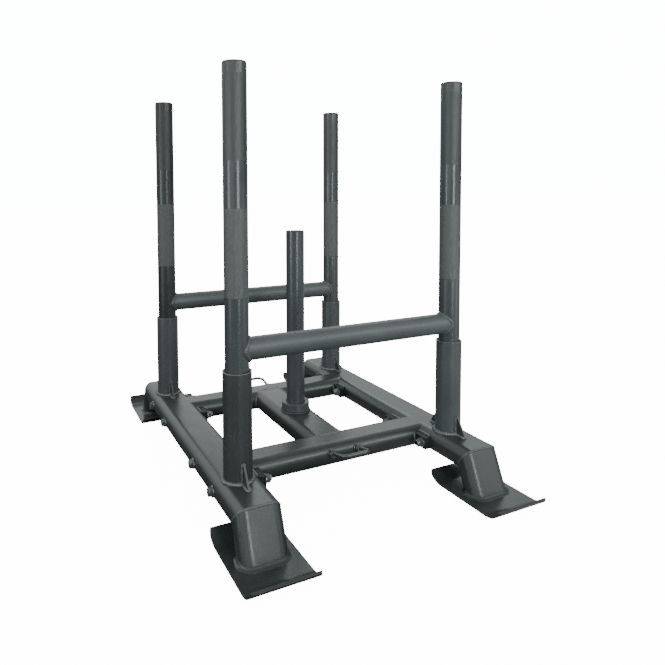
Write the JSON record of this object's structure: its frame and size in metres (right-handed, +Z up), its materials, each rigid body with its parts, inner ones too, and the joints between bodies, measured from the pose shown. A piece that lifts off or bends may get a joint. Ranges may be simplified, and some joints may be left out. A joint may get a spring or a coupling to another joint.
{
  "type": "weight sled",
  "caption": "Push and pull training sled on bent skid plates, with two lift-out push frames on round sockets and a removable post for weight plates.",
  "frame": {"origin": "on the floor under the centre of the sled", "axes": "+X to the right, +Y from the front to the rear along the rails, +Z up"},
  "size_m": [0.688, 1.0222, 0.936],
  "materials": {
    "base_frame": "satin powder coat, dark gunmetal, with weld beads at the joints",
    "skid": "satin powder coat, a little darker, worn at the edges",
    "push_frame": "satin powder coat over round tube, with two knurled grip zones on each upright",
    "end_cap": "moulded plug with a slightly rough face",
    "tow_loop": "gloss powder coat on bent rod",
    "fastener": "blackened steel with worn edges"
  },
  "bodies": {
    "base": {"left_rail": "base_frame", "right_rail": "base_frame", "front_left_leg": "base_frame", "front_right_leg": "base_frame", "rear_left_leg": "base_frame", "rear_right_leg": "base_frame", "front_left_skid": "skid", "front_right_skid": "skid", "rear_left_skid": "skid", "rear_right_skid": "skid", "front_cross_member": "base_frame", "rear_cross_member": "base_frame", "centre_beam": "base_frame", "front_left_rail_pad": "base_frame", "front_right_rail_pad": "base_frame", "rear_left_rail_pad": "base_frame", "rear_right_rail_pad": "base_frame", "front_left_end_flange": "base_frame", "front_right_end_flange": "base_frame", "rear_left_end_flange": "base_frame", "rear_right_end_flange": "base_frame", "flange_bolts": "fastener", "flange_washers": "fastener", "flange_nuts": "fastener", "front_left_socket": "base_frame", "front_right_socket": "base_frame", "rear_left_socket": "base_frame", "rear_right_socket": "base_frame", "front_left_gussets": "base_frame", "front_right_gussets": "base_frame", "rear_left_gussets": "base_frame", "rear_right_gussets": "base_frame", "post_collar": "base_frame", "front_tow_loop": "tow_loop", "rear_tow_loop": "tow_loop", "front_loop_bosses": "tow_loop", "rear_loop_bosses": "tow_loop"},
    "front_push_frame": {"front_left_upright": "push_frame", "front_right_upright": "push_frame", "front_crossbar": "push_frame", "front_left_cap": "end_cap", "front_right_cap": "end_cap"},
    "rear_push_frame": {"rear_left_upright": "push_frame", "rear_right_upright": "push_frame", "rear_crossbar": "push_frame", "rear_left_cap": "end_cap", "rear_right_cap": "end_cap"},
    "post": {"plate_post": "push_frame", "plate_post_cap": "end_cap"}
  },
  "joints": [
    {"name": "front_frame_lift", "type": "slide", "parent": "base", "child": "front_push_frame", "axis": [0, 0, 1], "range_m": [0, 0.23]},
    {"name": "rear_frame_lift", "type": "slide", "parent": "base", "child": "rear_push_frame", "axis": [0, 0, 1], "range_m": [0, 0.23]},
    {"name": "post_lift", "type": "slide", "parent": "base", "child": "post", "axis": [0, 0, 1], "range_m": [0, 0.08]}
  ]
}
